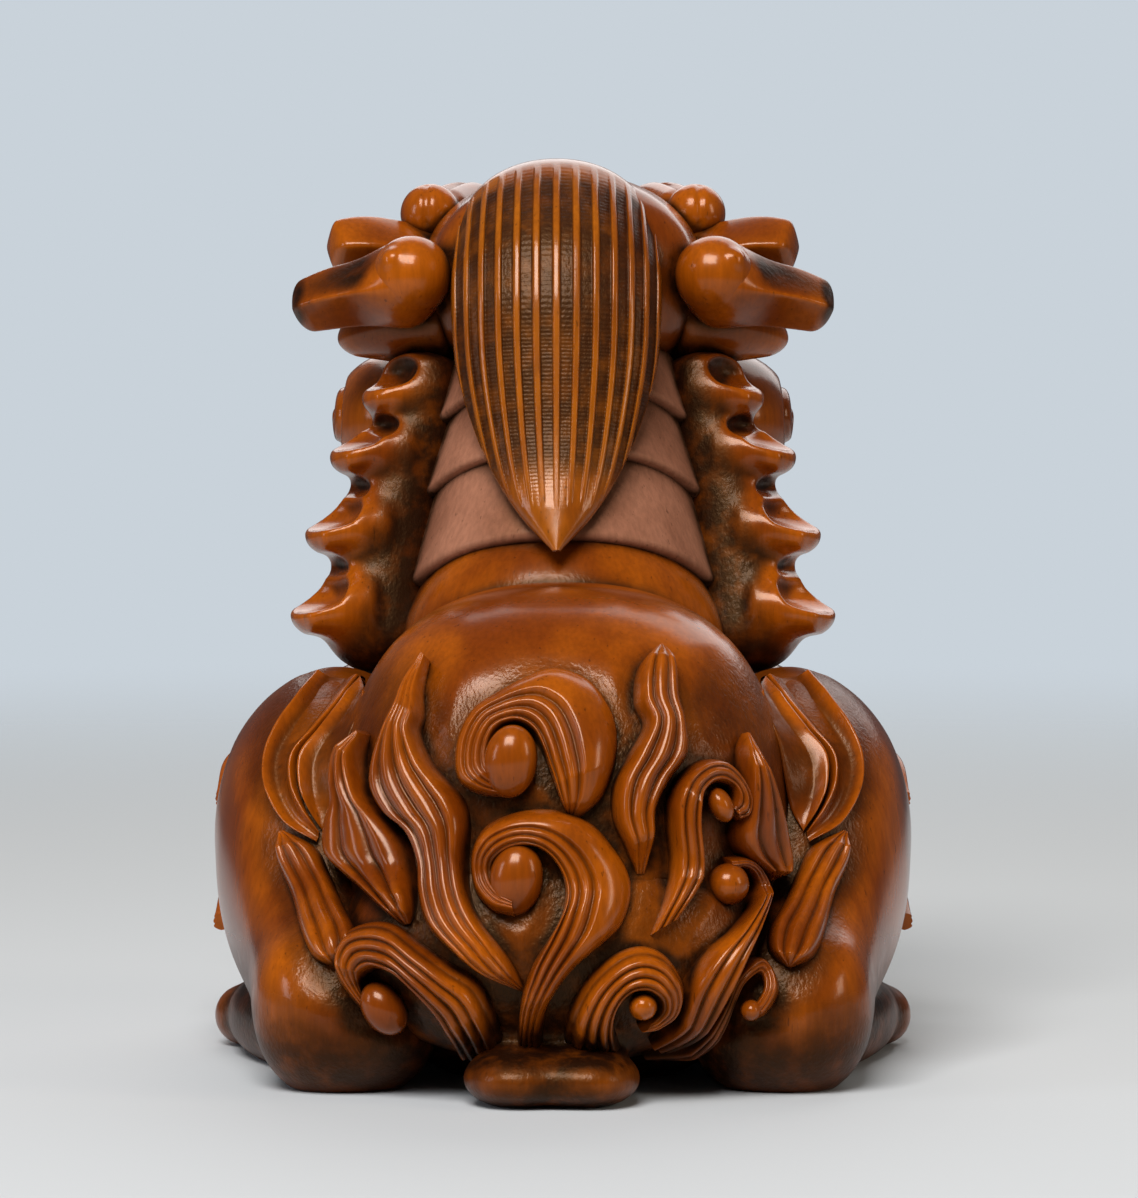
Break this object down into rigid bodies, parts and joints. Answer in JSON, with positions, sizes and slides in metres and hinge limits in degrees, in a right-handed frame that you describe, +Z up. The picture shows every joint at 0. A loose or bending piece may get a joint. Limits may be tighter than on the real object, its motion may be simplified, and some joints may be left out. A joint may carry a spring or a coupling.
{
  "type": "carved qilin figurine",
  "caption": "Crouching qilin figurine in polished boxwood, with a curled tail spread over the rump, plated neck, hooked side frills and a ridged mane lock.",
  "frame": {"origin": "on the table under the middle of the body, where the neck's axis foot lies straight above", "axes": "+Y the way the animal faces, +X its right side, +Z up; the picture looks along +Y"},
  "size_m": [0.054, 0.0752, 0.0688],
  "materials": {
    "polished_boxwood": "waxed and polished, darker in the recesses",
    "stained_boxwood": "waxed, with dark stain left in the grooves",
    "matte_boxwood": "matte, with fine tool marks"
  },
  "bodies": {
    "root": {"torso": "polished_boxwood", "neck_collar": "matte_boxwood", "neck_plate_1": "matte_boxwood", "neck_plate_2": "matte_boxwood", "neck_plate_3": "matte_boxwood", "left_neck_frill": "polished_boxwood", "right_neck_frill": "polished_boxwood", "skull": "polished_boxwood", "mane_lock": "stained_boxwood", "muzzle": "polished_boxwood", "nose": "polished_boxwood", "lower_jaw": "polished_boxwood", "beard": "polished_boxwood", "left_eye": "polished_boxwood", "right_eye": "polished_boxwood", "left_brow": "polished_boxwood", "right_brow": "polished_boxwood", "left_ear_boss": "polished_boxwood", "right_ear_boss": "polished_boxwood", "left_ear": "polished_boxwood", "right_ear": "polished_boxwood", "left_temple_tuft": "polished_boxwood", "right_temple_tuft": "polished_boxwood", "left_cheek_tuft": "polished_boxwood", "right_cheek_tuft": "polished_boxwood", "left_jowl": "polished_boxwood", "right_jowl": "polished_boxwood", "left_hind_leg": "polished_boxwood", "right_hind_leg": "polished_boxwood", "left_hind_foot": "polished_boxwood", "right_hind_foot": "polished_boxwood", "left_foreleg": "polished_boxwood", "right_foreleg": "polished_boxwood", "left_forepaw": "polished_boxwood", "right_forepaw": "polished_boxwood", "left_shoulder_tuft": "polished_boxwood", "right_shoulder_tuft": "polished_boxwood", "left_elbow_tuft": "polished_boxwood", "right_elbow_tuft": "polished_boxwood", "left_thigh_strip_outer": "polished_boxwood", "right_thigh_strip_outer": "polished_boxwood", "left_thigh_strip_inner": "polished_boxwood", "right_thigh_strip_inner": "polished_boxwood", "left_thigh_tuft": "polished_boxwood", "right_thigh_tuft": "polished_boxwood", "tail_root": "polished_boxwood", "tail_curl_middle": "polished_boxwood", "tail_curl_upper": "polished_boxwood", "tail_curl_left_low": "polished_boxwood", "tail_curl_right_low": "polished_boxwood", "tail_curl_right_high": "polished_boxwood", "tail_curl_right_middle": "polished_boxwood", "tail_curl_right_foot": "polished_boxwood", "tail_flame_left_long": "polished_boxwood", "tail_flame_left_low": "polished_boxwood", "tail_flame_right_high": "polished_boxwood", "tail_flame_right": "polished_boxwood"}
  },
  "joints": []
}
